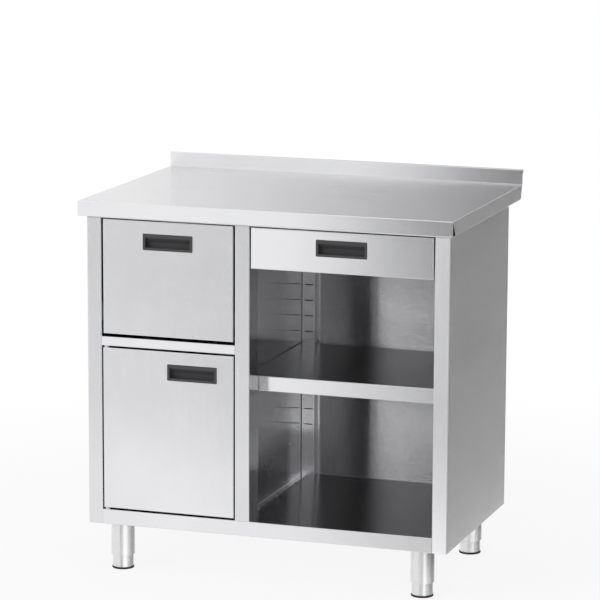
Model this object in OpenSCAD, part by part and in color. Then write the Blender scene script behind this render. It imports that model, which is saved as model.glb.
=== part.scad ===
// Coffee machine cabinet in folded stainless sheet: worktop with upstand, grounds drawer over
// a hinged door on the left, utensil drawer over an open bay with a slotted-in shelf on the
// right, on four adjustable legs. Millimetres, +Z up, front towards -Y.

/* [Worktop] */
// Width of the worktop
top_w = 1020; // [900:10:1200]
// Depth of the worktop from its front edge to the face of the upstand
top_d = 680; // [650:10:760]
// Height of the working surface above the floor
top_z = 1000; // [920:5:1100]
// Height of the folded edge
edge_h = 40; // [30:1:60]
// Height of the upstand above the working surface
upstand_h = 40; // [25:1:100]
// Thickness of the folded top of the upstand
upstand_t = 10; // [8:1:20]
// Sheet thickness of the worktop
top_sheet = 1.5; // [1:0.1:2]
// How far the worktop stands out past the cabinet's sides
side_overhang = 14; // [5:1:30]
// How far the worktop stands out past the cabinet's front
front_overhang = 28; // [15:1:40]
// Setback of the side edge's front end at its foot, a slanted relief cut
edge_cut_front = 28; // [5:1:40]
// Setback of the side edge's rear end at its foot
edge_cut_rear = 13; // [2:1:30]

/* [Body] */
// Depth of the cabinet's body
body_d = 570; // [540:5:600]
// Height of the body's underside above the floor
leg_h = 128; // [110:1:150]
// Sheet thickness of the body
sheet = 1.2; // [0.8:0.1:1.5]
// Outside radius of a bend
bend_r = 2; // [1.6:0.1:3]
// Width of a post's face
post_face = 40; // [32:1:50]
// Depth of a post's box
post_return = 73; // [55:1:90]
// Clear width of the left bay between its posts
left_bay_w = 373; // [330:1:420]
// Height of the rail under the bays
rail_h = 40; // [36:1:55]
// Height of the rail between the grounds drawer and the door
mid_rail_h = 24.5; // [18:0.5:40]
// Height of the rail under the worktop
top_rail_h = 6.5; // [5:0.5:12]
// Depth of the front rails
rail_depth = 40; // [35:1:60]
// Width of the flanges that join the panels
flange_w = 20; // [15:1:30]
// Length of the slanted cut at the rear top corner of a side panel
rear_cut_l = 35; // [10:1:50]
// Height of that cut
rear_cut_h = 11.5; // [4:0.5:20]

/* [Fronts] */
// Thickness of a drawer or door front
front_t = 20; // [19:1:25]
// Sheet thickness of fronts and drawer boxes
front_sheet = 1; // [0.8:0.1:1.2]
// Width of the lip folded in behind a front
front_lip = 14; // [10:1:20]
// Height of the grounds drawer's front
grounds_h = 305.5; // [280:0.5:330]
// Height of the utensil drawer's front
utensil_h = 108; // [100:1:120]
// Gap over the drawer fronts
top_gap = 2.5; // [1.5:0.5:4]
// Gap at each side of the grounds drawer
grounds_side_gap = 5; // [2:0.5:6]
// Gap under the grounds drawer
grounds_foot_gap = 8.5; // [4:0.5:12]
// Gap at each side of the utensil drawer
utensil_side_gap = 3.5; // [2:0.5:6]
// Gap at each side of the door
door_side_gap = 3.5; // [3.5:0.5:6]
// Gap over and under the door
door_end_gap = 5.25; // [4:0.25:7]

/* [Handles] */
// Width of a handle's flange
handle_w = 138; // [110:1:150]
// Height of a handle's flange
handle_h = 43.5; // [40:0.5:48]
// How far the flange stands proud of the front
handle_proud = 2; // [1.2:0.1:3]
// Depth of a handle's trough behind the front
handle_depth = 17; // [14:0.5:17.5]
// Width of the border beside the opening
handle_side_border = 6.6; // [5:0.1:9]
// Width of the border over the opening
handle_top_border = 9.5; // [6:0.5:11]
// Width of the border under the opening
handle_foot_border = 6.7; // [5:0.1:8]
// Wall of the moulding
handle_wall = 1.5; // [1:0.1:2]
// Distance from the top of the grounds drawer or door to its handle
handle_drop = 33; // [15:1:60]
// Distance from the top of the utensil drawer to its handle
utensil_handle_drop = 22; // [15:1:45]
// Distance from the door's free edge to its handle
door_handle_inset = 47; // [25:1:120]

/* [Drawers] */
// Length of the drawer boxes
box_l = 500; // [450:10:500]
// Height of the grounds drawer's box
grounds_box_h = 240; // [180:5:245]
// Height of the utensil drawer's box
utensil_box_h = 82; // [60:1:90]
// Height of a box's bottom above the foot of its front
box_lift = 8; // [5:1:12]
// Width of the hem round a box's rim
box_rim = 8; // [5:1:12]
// Diameter of the knock bar
knock_d = 16; // [12:1:20]
// Outside diameter of the bar's rubber sleeve
sleeve_d = 34; // [28:1:40]
// Distance of the knock bar from the front of its box
knock_setback = 150; // [100:5:250]
// Depth of the knock bar's axis under the rim of its box
knock_drop = 36; // [28:1:60]

/* [Runners] */
// Height of a telescopic runner
runner_h = 45; // [45:1:52]
// Thickness of a runner
runner_t = 12.7; // [12.7:0.1:14]
// Sheet thickness of a runner
runner_sheet = 1.2; // [1:0.1:1.4]
// Height of the balls' tracks between two members
ball_track = 3.1; // [2.8:0.1:3.4]
// Height of the grounds drawer's runners above the foot of its box, to their middle
grounds_runner_rise = 45; // [30:1:120]

/* [Door] */
// Distance of the pivot from the door's edge and from its face
pivot_inset = 8; // [8:0.1:9]
// Diameter of the pivot pins
pin_d = 5; // [4:0.5:6]
// Outside diameter of the pivot bushes
bush_d = 9; // [8.5:0.5:10]
// Diameter of a bush's collar
bush_collar_d = 13; // [11:0.5:14]

/* [Shelf] */
// Height of the shelf's front edge
shelf_edge = 40; // [30:1:50]
// Number of slots in each upright
slot_rows = 10; // [8:1:12]
// Distance from slot to slot
slot_pitch = 43.7; // [35:0.1:45]
// Height of the lowest slot above the bay's floor
slot_first = 146; // [120:1:160]
// Slot that carries the shelf, counted from the lowest, which is 0
shelf_row = 4; // [1:1:6]
// Length of a slot
slot_w = 24; // [18:1:28]
// Height of a slot
slot_h = 3; // [2.5:0.5:4]
// Depth of the rear uprights
upright_d = 25.6; // [18:0.2:30]
// Height of a clip's ledge above its slot
clip_rise = 15.8; // [12:0.1:20]

/* [Legs] */
// Outside diameter of a leg's tube
leg_d = 63; // [60:1:68]
// Outside diameter of the adjustable foot
foot_d = 56; // [50:0.5:58]
// Height above the floor of the leg tube's lower end
leg_step = 37; // [30:1:50]
// Distance of the legs' axes from the worktop's sides
leg_inset = 92; // [75:1:110]
// Distance of the front legs' axes from the worktop's front edge
leg_front = 76.5; // [70:0.5:90]
// Distance of the rear legs' axes from the worktop's front edge
leg_rear = 534.5; // [500:0.5:545]
// Diameter of the threaded spindle
spindle_d = 12; // [8:1:14]
// Diameter of the plastic pad under a foot
pad_d = 59; // [56:1:64]
// Thickness of the pad
pad_t = 5; // [4:0.5:8]

/* [Hidden] */

$fn = 48;
// Facets of a quarter-round bend
bend_n = 4;
// Slack between a tube and what slides in it
slide_clear = 0.3;
// Radial slack of a pin or spindle in its bore
run_clear = 0.05;
// Slack of a cut-out round what passes through it
cut_clear = 1;
// Gap between the end of a post's return and the wall that it meets
hem_gap = 0.2;
// How far a cutter runs past the face that it cuts
over = 1;

// Limits of the whole
x_top = top_w / 2;
y_edge = -(top_d + upstand_t) / 2;
y_upstand = y_edge + top_d;
z_under = top_z - edge_h;

// Limits of the body
x_out = x_top - side_overhang;
x_in = x_out - sheet;
y_front = y_edge + front_overhang;
y_back = y_front + body_d;
y_panel = y_back - sheet;
y_inner = y_panel - sheet;
y_post = y_front + post_return;
z_floor = leg_h + rail_h;

// Posts: the left bay lies between x_left and x_mid, the right bay between x_bay and x_right
x_left = -x_out + post_face;
x_mid = x_left + left_bay_w;
x_bay = x_mid + post_face;
x_right = x_out - post_face;
x_wall = x_mid + sheet;

// Heights of the fronts
z_front = z_under - top_rail_h - top_gap;
z_grounds = z_front - grounds_h;
z_utensil = z_front - utensil_h;
z_rail_top = z_grounds - grounds_foot_gap;
z_rail_foot = z_rail_top - mid_rail_h;
z_door_top = z_rail_foot - door_end_gap;
z_door = z_floor + door_end_gap;
door_h = z_door_top - z_door;
y_box = y_front + front_t;

// Widths of the fronts
x_grounds = x_left + grounds_side_gap;
grounds_w = left_bay_w - 2 * grounds_side_gap;
x_utensil = x_bay + utensil_side_gap;
utensil_w = x_right - x_bay - 2 * utensil_side_gap;
x_door = x_left + door_side_gap;
door_w = left_bay_w - 2 * door_side_gap;

// Pivot of the door: a pin's length in the door and past its edge, and the depth of its bore
x_pivot = x_door + pivot_inset;
y_pivot = y_front + pivot_inset;
pin_in = 6;
pin_out = 8;
pin_bore = 10;
bush_body = 5;

// Runners
z_grounds_runner = z_grounds + box_lift + grounds_runner_rise;
z_utensil_runner = z_utensil + box_lift + utensil_box_h / 2;
y_runner = y_box + 1;
runner_l = box_l;
runner_lip = 3;
// Where the middle member's web and the inner member start, from the outer member's back
middle_start = runner_sheet + 0.8;
inner_start = 5.4;
// Where the outer and middle members' lips end
outer_end = runner_t - 2.5;
middle_end = runner_t - 1.5;
// Heights of the tracks for the inner balls and of the two moving members
inner_track = ball_track - 0.5;
middle_h = runner_h - 2 * (runner_sheet + ball_track);
inner_h = middle_h - 2 * (runner_sheet + inner_track);
// Strips that stand for the cages with their balls
cage_start = middle_start + 1;
cage_w = 4;
cage_l = 200;
cage_clear = 0.3;

// Shelf and its supports
slot_z = [for (i = [0 : slot_rows - 1]) z_floor + slot_first + i * slot_pitch];
y_upright = y_inner - upright_d;
upright_w = post_face;
upright_gap = 3;
upright_top = z_utensil - upright_gap;
upright_foot = 5;
shelf_gap = 3;
shelf_rear_gap = 1;
shelf_side_gap = 3.5;
shelf_hem = 15;
shelf_flange = 25;
shelf_z = slot_z[shelf_row] + clip_rise + shelf_edge;
foot_flange = 16.8;

// Clips: slack at a slot's ends, over the hook and behind it, and the hook's length
clip_t = 1.5;
clip_w = slot_w - 4;
clip_reach = 24;
clip_drop = 12;
hook_slack = 0.3;
hook_l = 5;

// Hat channels under the worktop and under the floor
hat_w = 50;
hat_foot = 20;
bay_w = x_right - x_bay;
hat_x = [x_left + left_bay_w / 2, x_bay + bay_w / 3, x_bay + bay_w * 2 / 3];
base_w = 72;
base_foot = 18;
base_setback = 10;
floor_flange = 28;
side_flange = 25;
back_flange = 30;
plate_w = 72;
plate_t = 3;
rail_return = 8;

// Worktop: how far its flanges reach in under it, and the hem behind the upstand
front_return = front_overhang + 17;
side_return = side_overhang + 11;
upstand_hem = 12;

// Legs: the nut plate in the tube, the sleeve of the foot below it and the spindle through it
leg_x = x_top - leg_inset;
leg_y = [y_edge + leg_front, y_edge + leg_rear];
leg_bore = foot_d / 2 + slide_clear;
nut_z = leg_h - 24;
nut_t = 8;
sleeve_top = nut_z - 12;
sleeve_wall = 2;
sleeve_cap = 3;
spindle_top = leg_h + 22;
spindle_hole = spindle_d / 2 + 3;
pad_chamfer = 1;

// Handle's trough, measured back from the front's face and up from the flange's foot
trough_step = 1;
trough_z0 = handle_foot_border - trough_step - handle_wall;
trough_z1 = handle_h - handle_top_border + handle_wall + trough_step;
trough_w = handle_w - 2 * handle_side_border + 2 * handle_wall;
trough_lip = 3;
handle_corner = 3;
// Rounding of the flange's front edge, and the height of the knee as a share of the mouth
handle_edge = handle_proud * 0.6;
knee_share = 0.48;

// Places of the handles
grounds_handle_x = x_grounds + grounds_w / 2;
grounds_handle_z = z_front - handle_drop - handle_h;
utensil_handle_x = x_utensil + utensil_w / 2;
utensil_handle_z = z_front - utensil_handle_drop - handle_h;
door_handle_x = x_door + door_w - door_handle_inset - handle_w / 2;
door_handle_z = z_door_top - handle_drop - handle_h;

// Knock bar in the grounds drawer's box, with its end discs
x_box0 = x_left + runner_t;
x_box1 = x_mid - runner_t;
knock_x0 = x_box0 + front_sheet;
knock_x1 = x_box1 - front_sheet;
knock_y = y_box + knock_setback;
knock_z = z_grounds + box_lift + grounds_box_h - knock_drop;
disc_t = 3;
disc_d = sleeve_d - 2;
sleeve_gap = 12;

// Catch over the door's free edge
catch_w = 45;
catch_h = 22;
catch_d = 14;
catch_inset = 12;
strike_h = 14;
strike_t = 1.5;
strike_inset = 3;
strike_drop = 5;
liner_t = 0.8;
liner_inset = 4;
y_strike = y_box + liner_t;
y_catch = y_strike + strike_t + slide_clear;

// Unit vector, and the vector a quarter turn to the left of it
function unit(v) = v / norm(v);
function left(v) = [-v[1], v[0]];

// Points of an arc that rounds the corner at b between a and c
function corner(a, b, c, r, n) =
    let (u = unit(a - b), v = unit(c - b), half = acos(u * v) / 2)
    let (start = b + u * r / tan(half), mid = b + unit(u + v) * r / sin(half))
    let (from = atan2(start[1] - mid[1], start[0] - mid[0]))
    let (turn = (180 - 2 * half) * sign(u[0] * v[1] - u[1] * v[0]))
    [for (i = [0 : n]) mid + r * [cos(from - turn * i / n), sin(from - turn * i / n)]];

// Normal of leg i of a path
function normal_at(path, i) = left(unit(path[i + 1] - path[i]));

// The same path, moved t to the left
function moved(path, t) = [for (i = [0 : len(path) - 1])
    i == 0 ? path[0] + t * normal_at(path, 0)
    : i == len(path) - 1 ? path[i] + t * normal_at(path, i - 1)
    : let (p = normal_at(path, i - 1), q = normal_at(path, i)) path[i] + (p + q) * t / (1 + p * q)];

// True where the path turns left at point i
function turns_left(path, i) =
    let (u = path[i] - path[i - 1], v = path[i + 1] - path[i]) u[0] * v[1] - u[1] * v[0] > 0;

// The path with each corner rounded: left_r where it turns left, right_r where it turns right
function rounded(path, left_r, right_r) = [
    path[0],
    for (i = [1 : len(path) - 2])
        each corner(path[i - 1], path[i], path[i + 1],
            turns_left(path, i) ? left_r : right_r, bend_n),
    path[len(path) - 1]];

function reversed(list) = [for (i = [len(list) - 1 : -1 : 0]) list[i]];

// Outline of a sheet folded along a path, with its thickness t on the left, or -t on the right
function folded(path, t) =
    let (inner_r = max(bend_r - abs(t), 0.1), a = t > 0 ? bend_r : inner_r)
    let (b = t > 0 ? inner_r : bend_r)
    concat(rounded(path, a, b), reversed(rounded(moved(path, t), b, a)));

// Outline of a rectangle w by h from the origin with its two corners on the first axis rounded
function nosed(w, h, r) = concat(
    corner([0, h], [0, 0], [w, 0], r, bend_n),
    corner([0, 0], [w, 0], [w, h], r, bend_n),
    [[w, h], [0, h]]);

// Extrusions along the three axes: outlines are given as [y, z], [x, z] and [x, y]
module along_x(x0, x1) translate([x0, 0, 0]) rotate([90, 0, 90]) linear_extrude(x1 - x0) children();
module along_y(y0, y1) translate([0, y1, 0]) rotate([90, 0, 0]) linear_extrude(y1 - y0) children();
module along_z(z0, z1) translate([0, 0, z0]) linear_extrude(z1 - z0) children();
module block(low, high) translate(low) cube(high - low);
module both_sides() {
    children();
    mirror([1, 0, 0]) children();
}

// Block w by d by h with its front edges rounded, front face on y = 0
module nosed_block(w, d, h, r) intersection() {
    along_z(0, h) polygon(nosed(w, d, r));
    along_x(0, w) rotate(-90) mirror([1, 0]) polygon(nosed(h, d, r));
}

// Worktop: one sheet folded at its front edge and into the upstand, with folded side edges
module worktop() {
    main = [[y_upstand + upstand_t, top_z + upstand_h - upstand_hem],
        [y_upstand + upstand_t, top_z + upstand_h], [y_upstand, top_z + upstand_h],
        [y_upstand, top_z], [y_edge, top_z], [y_edge, z_under], [y_edge + front_return, z_under]];
    side = [[x_top, top_z - top_sheet / 2], [x_top, z_under], [x_top - side_return, z_under]];
    color("lightgray") difference() {
        union() {
            along_x(-x_top, x_top) polygon(folded(main, top_sheet));
            both_sides() intersection() {
                along_y(y_edge, y_upstand) polygon(folded(side, -top_sheet));
                along_x(0, x_top) polygon([[y_edge + bend_r, top_z],
                    [y_edge + edge_cut_front, z_under], [y_upstand - edge_cut_rear, z_under],
                    [y_upstand, top_z]]);
            }
        }
        both_sides() along_y(y_edge - over, y_upstand) translate([x_top - bend_r, top_z - bend_r])
            difference() {
                square(bend_r + over);
                circle(bend_r);
            }
    }
}

// Hat section w wide and h high with feet, open side down
module hat(w, foot, h) polygon(folded([[-w / 2 - foot, sheet], [-w / 2, sheet], [-w / 2, h],
    [w / 2, h], [w / 2, sheet], [w / 2 + foot, sheet]], -sheet));

module worktop_stiffeners() color("silver")
    for (x = hat_x) along_y(y_edge + front_return, y_panel)
        translate([x, z_under]) hat(hat_w, hat_foot, edge_h - top_sheet);

// Rows of slots for shelf clips, cut along Y at x
module slots(x, y) for (z = slot_z)
    block([x - slot_w / 2, y - sheet - over, z - slot_h / 2],
        [x + slot_w / 2, y + sheet + over, z + slot_h / 2]);

// Side panel with its front post, rear flange and flanges over and under, on the left
module side_panel() {
    plan = [[-x_out + flange_w, y_back], [-x_out, y_back], [-x_out, y_front], [x_left, y_front],
        [x_left, y_post], [-x_in + hem_gap, y_post]];
    difference() {
        along_z(leg_h, z_under) polygon(folded(plan, sheet));
        along_x(-x_out - over, -x_out + flange_w + over)
            polygon([[y_back - rear_cut_l, z_under + over], [y_back - rear_cut_l, z_under],
                [y_back + over, z_under - rear_cut_h], [y_back + over, z_under + over]]);
    }
    block([-x_in - sheet / 2, y_post - sheet, z_under - sheet],
        [-x_in + side_flange, y_inner, z_under]);
    block([-x_in - sheet / 2, y_post - sheet, leg_h], [-x_in + flange_w, y_inner, leg_h + sheet]);
}

module side_panel_left() color("silver") side_panel();

module side_panel_right() color("silver") difference() {
    mirror([1, 0, 0]) side_panel();
    slots(x_out - sheet - post_face / 2, y_post);
}

// Wall between the bays, folded at the front into the middle post
module partition() {
    plan = [[x_mid - flange_w, y_inner - sheet], [x_mid, y_inner - sheet], [x_mid, y_front],
        [x_bay, y_front], [x_bay, y_post], [x_wall + hem_gap, y_post]];
    color("silver") difference() {
        union() {
            along_z(z_floor, z_under) polygon(folded(plan, sheet));
            block([x_wall - sheet / 2, y_post - sheet, z_floor],
                [x_wall + foot_flange, y_upright - shelf_rear_gap, z_floor + sheet]);
        }
        slots(x_wall + post_face / 2 - sheet, y_post);
        block([x_mid - flange_w - over, y_inner - back_flange, z_under - bend_r],
            [x_wall + over, y_panel, z_under + over]);
    }
}

// Back panel with a flange forward under the worktop, between the side panels' flanges
module back_panel() {
    top = [[y_inner - back_flange, z_under], [y_panel, z_under], [y_panel, leg_h]];
    x_flange = x_in - side_flange;
    x_side = x_in - (bend_r - sheet);
    color("gray") {
        along_x(-x_flange, x_flange) polygon(folded(top, -sheet));
        both_sides() block([x_flange - over, y_inner, leg_h], [x_side, y_panel, z_under - sheet]);
    }
}

// Floor of the bays, folded down in front as the bottom rail and notched round the posts
module bottom_panel() {
    side = [[y_inner, z_floor - floor_flange], [y_inner, z_floor], [y_front, z_floor],
        [y_front, leg_h], [y_front + rail_return, leg_h]];
    color("silver") difference() {
        union() {
            along_x(x_left, x_right) polygon(folded(side, sheet));
            both_sides() along_y(y_post, y_inner) polygon(folded([[x_right - over, z_floor],
                [x_in, z_floor], [x_in, z_floor - floor_flange]], -sheet));
        }
        bush_hole();
    }
}

// Channels under the floor that the legs are bolted to, with their feet on the inner side
module base_channels() color("gray") both_sides() difference() {
    top = z_floor - sheet;
    along_y(y_front + base_setback, y_inner - base_setback) translate([leg_x, 0]) polygon(folded(
        [[-base_w / 2 - base_foot, top - sheet], [-base_w / 2, top - sheet],
        [-base_w / 2, leg_h + plate_t], [base_w / 2, leg_h + plate_t], [base_w / 2, top]], sheet));
    for (y = leg_y) translate([leg_x, y, leg_h]) cylinder(r = spindle_hole, h = rail_h / 2);
}

// Front rail of channel section, open to the rear
module front_rail(x0, x1, z0, z1) along_x(x0, x1) polygon(folded([[y_front + rail_depth, z1],
    [y_front, z1], [y_front, z0], [y_front + rail_depth, z0]], sheet));

module mid_rail() color("silver") difference() {
    front_rail(x_left, x_mid, z_rail_foot, z_rail_top);
    bush_hole();
}

module top_rail_left() color("silver") front_rail(x_left, x_mid, z_under - top_rail_h, z_under);

module top_rail_right() color("silver") front_rail(x_bay, x_right, z_under - top_rail_h, z_under);

// Slotted upright in the rear corner at the wall x = x_wall, its face towards the front
module upright() {
    rear = y_inner - sheet;
    plan = [[x_wall + upright_w + upright_foot, rear], [x_wall + upright_w, rear],
        [x_wall + upright_w, y_upright], [x_wall, y_upright], [x_wall, y_inner]];
    difference() {
        along_z(z_floor, upright_top) polygon(folded(plan, -sheet));
        slots(x_wall + upright_w / 2, y_upright);
    }
}

module upright_left() color("silver") upright();

module upright_right() color("silver") translate([x_wall + x_in, 0, 0]) mirror([1, 0, 0]) upright();

// Clip with its hook through a slot in a face at y = 0, and its ledge towards -Y
module clip() along_x(-clip_w / 2, clip_w / 2) polygon(let (
    hook_y = sheet + hook_slack, hook_foot = -slot_h / 2 + hook_slack,
    hook_top = slot_h / 2 - 2 * hook_slack, hook_end = -slot_h / 2 - hook_l)
    [[0, -clip_drop], [0, hook_foot], [hook_y, hook_foot], [hook_y, hook_end],
    [hook_y + clip_t, hook_end], [hook_y + clip_t, hook_top], [0, hook_top], [0, clip_rise],
    [-clip_reach, clip_rise], [-clip_reach, clip_rise - clip_t], [-clip_t, clip_rise - clip_t],
    [-clip_t, -clip_drop]]);

module shelf_clips() color("dimgray") translate([0, 0, slot_z[shelf_row]]) {
    for (x = [x_wall + upright_w / 2, x_in - upright_w / 2]) translate([x, y_upright, 0]) clip();
    for (x = [x_wall + post_face / 2 - sheet, x_in - post_face / 2])
        translate([x, y_post, 0]) mirror([0, 1, 0]) clip();
}

// Shelf: folded down all round, hemmed in at front and rear, resting on its hems
module shelf() {
    y0 = y_post + shelf_gap;
    y1 = y_upright - shelf_rear_gap;
    x0 = x_wall + shelf_side_gap;
    x1 = x_in - shelf_side_gap;
    foot = shelf_z - shelf_edge;
    color("silver") {
        along_x(x0, x1) polygon(folded([[y1 - shelf_hem, foot], [y1, foot], [y1, shelf_z],
            [y0, shelf_z], [y0, foot], [y0 + shelf_hem, foot]], sheet));
        for (x = [x0, x1 - sheet]) block([x, y0 + bend_r, shelf_z - shelf_flange],
            [x + sheet, y1 - bend_r, shelf_z - sheet / 2]);
    }
}

// Channel that brings a runner out to the post's face, between x0 and x1 with its web at x1
module runner_spacer(x0, x1, z) along_y(y_post, y_inner) translate([0, z - runner_h / 2])
    polygon(folded([[x0, 0], [x1, 0], [x1, runner_h], [x0, runner_h]], x1 > x0 ? sheet : -sheet));

module runner_spacer_grounds() color("gray") runner_spacer(-x_in, x_left, z_grounds_runner);

module runner_spacer_utensil_left() color("gray") runner_spacer(x_wall, x_bay, z_utensil_runner);

module runner_spacer_utensil_right() color("gray") runner_spacer(x_in, x_right, z_utensil_runner);

// Section of a runner's member: a C with lips, its web at u, its open side at end
module member(u, end, h) {
    path = [[end, h / 2 - runner_lip], [end, h / 2], [u, h / 2], [u, -h / 2], [end, -h / 2],
        [end, -h / 2 + runner_lip]];
    polygon(concat(path, reversed(moved(path, runner_sheet))));
}

module runner_outer() along_y(0, runner_l) member(0, outer_end, runner_h);

// The middle member also carries the ball cages: behind on its outside, in front on its inside
module cages(u, v0, v1, y0) for (s = [0, 1]) mirror([0, 0, s]) along_y(y0, y0 + cage_l)
    translate([u, v0]) square([cage_w, v1 - v0]);
module runner_middle() {
    along_y(0, runner_l) member(middle_start, middle_end, middle_h);
    cages(cage_start, middle_h / 2, middle_h / 2 + ball_track - cage_clear, runner_l - cage_l);
    cages(inner_start, inner_h / 2 + cage_clear, middle_h / 2 - runner_sheet, 0);
}

module runner_inner() along_y(0, runner_l) polygon(let (
    path = [[inner_start, inner_h / 2], [runner_t, inner_h / 2], [runner_t, -inner_h / 2],
        [inner_start, -inner_h / 2]])
    concat(path, reversed(moved(path, -runner_sheet))));

// A member at a bay's left side, or mirrored at its right side
module at_left(x, z) translate([x, y_runner, z]) children();
module at_right(x, z) translate([x, y_runner, z]) mirror([1, 0, 0]) children();

module grounds_runner_outer_left() color("slategray")
    at_left(x_left, z_grounds_runner) runner_outer();
module grounds_runner_middle_left() color("darkgray")
    at_left(x_left, z_grounds_runner) runner_middle();
module grounds_runner_inner_left() color("lightslategray")
    at_left(x_left, z_grounds_runner) runner_inner();
module grounds_runner_outer_right() color("slategray")
    at_right(x_mid, z_grounds_runner) runner_outer();
module grounds_runner_middle_right() color("darkgray")
    at_right(x_mid, z_grounds_runner) runner_middle();
module grounds_runner_inner_right() color("lightslategray")
    at_right(x_mid, z_grounds_runner) runner_inner();
module utensil_runner_outer_left() color("slategray")
    at_left(x_bay, z_utensil_runner) runner_outer();
module utensil_runner_middle_left() color("darkgray")
    at_left(x_bay, z_utensil_runner) runner_middle();
module utensil_runner_inner_left() color("lightslategray")
    at_left(x_bay, z_utensil_runner) runner_inner();
module utensil_runner_outer_right() color("slategray")
    at_right(x_right, z_utensil_runner) runner_outer();
module utensil_runner_middle_right() color("darkgray")
    at_right(x_right, z_utensil_runner) runner_middle();
module utensil_runner_inner_right() color("lightslategray")
    at_right(x_right, z_utensil_runner) runner_inner();

// Folded front: a box open behind, with lips round the opening and a cut-out for its handle
module front(x, z, w, h, handle_x, handle_z) difference() {
    translate([x, y_front, z]) nosed_block(w, front_t, h, bend_r);
    translate([x + front_sheet, y_front + front_sheet, z + front_sheet])
        nosed_block(w - 2 * front_sheet, front_t - 2 * front_sheet, h - 2 * front_sheet,
            bend_r - front_sheet);
    block([x + front_lip, y_front + front_t / 2, z + front_lip],
        [x + w - front_lip, y_front + front_t + over, z + h - front_lip]);
    cut_w = trough_w + cut_clear;
    block([handle_x - cut_w / 2, y_front - over, handle_z + trough_z0 - cut_clear / 2],
        [handle_x + cut_w / 2, y_front + front_t / 2, handle_z + trough_z1 + cut_clear / 2]);
}

// Recessed handle: a flange on the front and a trough whose back slopes down to a finger pocket
module handle(x, z) translate([x, y_front, z]) {
    mouth_top = handle_h - handle_top_border;
    knee = handle_foot_border + (mouth_top - handle_foot_border) * knee_share;
    back = handle_depth - handle_wall;
    sill = handle_foot_border - trough_step;
    pocket = [[-handle_proud - over, mouth_top], [trough_step, mouth_top],
        [back - 2 * trough_step, knee + trough_lip], [back, knee], [back, sill], [trough_lip, sill],
        [trough_lip - trough_step, handle_foot_border], [-handle_proud - over, handle_foot_border]];
    shell = [[-handle_proud / 2, trough_z1], [2 * trough_step, trough_z1],
        [handle_depth - trough_step, knee + trough_lip + 2 * trough_step],
        [handle_depth, knee + trough_lip], [handle_depth, trough_z0],
        [-handle_proud / 2, trough_z0]];
    mouth_w = handle_w - 2 * handle_side_border;
    rim = [[0, 0], [handle_w, 0], [handle_w, handle_h], [0, handle_h]];
    difference() {
        union() {
            intersection() {
                translate([-handle_w / 2, -handle_proud, 0])
                    nosed_block(handle_w, handle_proud, handle_h, handle_edge);
                along_y(-handle_proud - over, over) translate([-handle_w / 2, 0])
                    polygon([for (i = [0 : 3]) each corner(rim[i], rim[(i + 1) % 4],
                        rim[(i + 2) % 4], handle_corner, bend_n)]);
            }
            along_x(-trough_w / 2, trough_w / 2) polygon(shell);
        }
        along_x(-mouth_w / 2, mouth_w / 2) polygon(pocket);
    }
}

// Open box of folded sheet with a hem turned in round its rim
module drawer_box(x0, x1, z, h) difference() {
    block([x0, y_box, z], [x1, y_box + box_l, z + h]);
    block([x0 + front_sheet, y_box + front_sheet, z + front_sheet],
        [x1 - front_sheet, y_box + box_l - front_sheet, z + h - front_sheet]);
    block([x0 + box_rim, y_box + box_rim, z + h / 2],
        [x1 - box_rim, y_box + box_l - box_rim, z + h + over]);
}

module grounds_front() color("gainsboro") front(x_grounds, z_grounds, grounds_w, grounds_h,
    grounds_handle_x, grounds_handle_z);

module grounds_handle() color("dimgray") handle(grounds_handle_x, grounds_handle_z);

module grounds_box() color("silver")
    drawer_box(x_box0, x_box1, z_grounds + box_lift, grounds_box_h);

// Knock bar across the grounds drawer, with end discs on the box's sides and a rubber sleeve
module knock_bar() color("silver") {
    translate([knock_x0, knock_y, knock_z]) rotate([0, 90, 0])
        cylinder(d = knock_d, h = knock_x1 - knock_x0);
    for (x = [knock_x0, knock_x1 - disc_t]) translate([x, knock_y, knock_z]) rotate([0, 90, 0])
        cylinder(d = disc_d, h = disc_t);
}

module knock_sleeve() color("black") translate([knock_x0 + sleeve_gap, knock_y, knock_z])
    rotate([0, 90, 0]) difference() {
        cylinder(d = sleeve_d, h = knock_x1 - knock_x0 - 2 * sleeve_gap);
        translate([0, 0, -over]) cylinder(r = knock_d / 2 + run_clear, h = top_w);
    }

module utensil_front() color("gainsboro") front(x_utensil, z_utensil, utensil_w, utensil_h,
    utensil_handle_x, utensil_handle_z);

module utensil_handle() color("dimgray") handle(utensil_handle_x, utensil_handle_z);

module utensil_box() color("silver") drawer_box(x_bay + runner_t, x_right - runner_t,
    z_utensil + box_lift, utensil_box_h);

// Door, turning on two pins in nylon bushes in the rails over and under it
module door_skin() color("gainsboro") difference() {
    front(x_door, z_door, door_w, door_h, door_handle_x, door_handle_z);
    for (z = [z_door - over, z_door_top - pin_bore]) translate([x_pivot, y_pivot, z])
        cylinder(r = pin_d / 2 + run_clear, h = pin_bore + over);
}

module door_liner() color("silver") block([x_door + liner_inset, y_box, z_door + liner_inset],
    [x_door + door_w - liner_inset, y_box + liner_t, z_door_top - liner_inset]);

module door_handle() color("dimgray") handle(door_handle_x, door_handle_z);

module door_pins() color("gray") for (z = [z_door - pin_out, z_door_top - pin_in])
    translate([x_pivot, y_pivot, z]) cylinder(d = pin_d, h = pin_in + pin_out);

module bush_hole() for (z = [z_floor - bush_body, z_rail_foot - over])
    translate([x_pivot, y_pivot, z]) cylinder(r = bush_d / 2 + run_clear, h = bush_body + over);

module door_bushes() color("white") difference() {
    for (z = [[z_floor, 1], [z_rail_foot, -1]]) translate([x_pivot, y_pivot, z[0]])
        mirror([0, 0, z[1] > 0 ? 0 : 1]) {
            translate([0, 0, -bush_body]) cylinder(d = bush_d, h = bush_body);
            cylinder(d = bush_collar_d, h = door_end_gap - slide_clear);
        }
    translate([x_pivot, y_pivot, 0]) cylinder(r = pin_d / 2 + run_clear, h = top_z);
}

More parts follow.
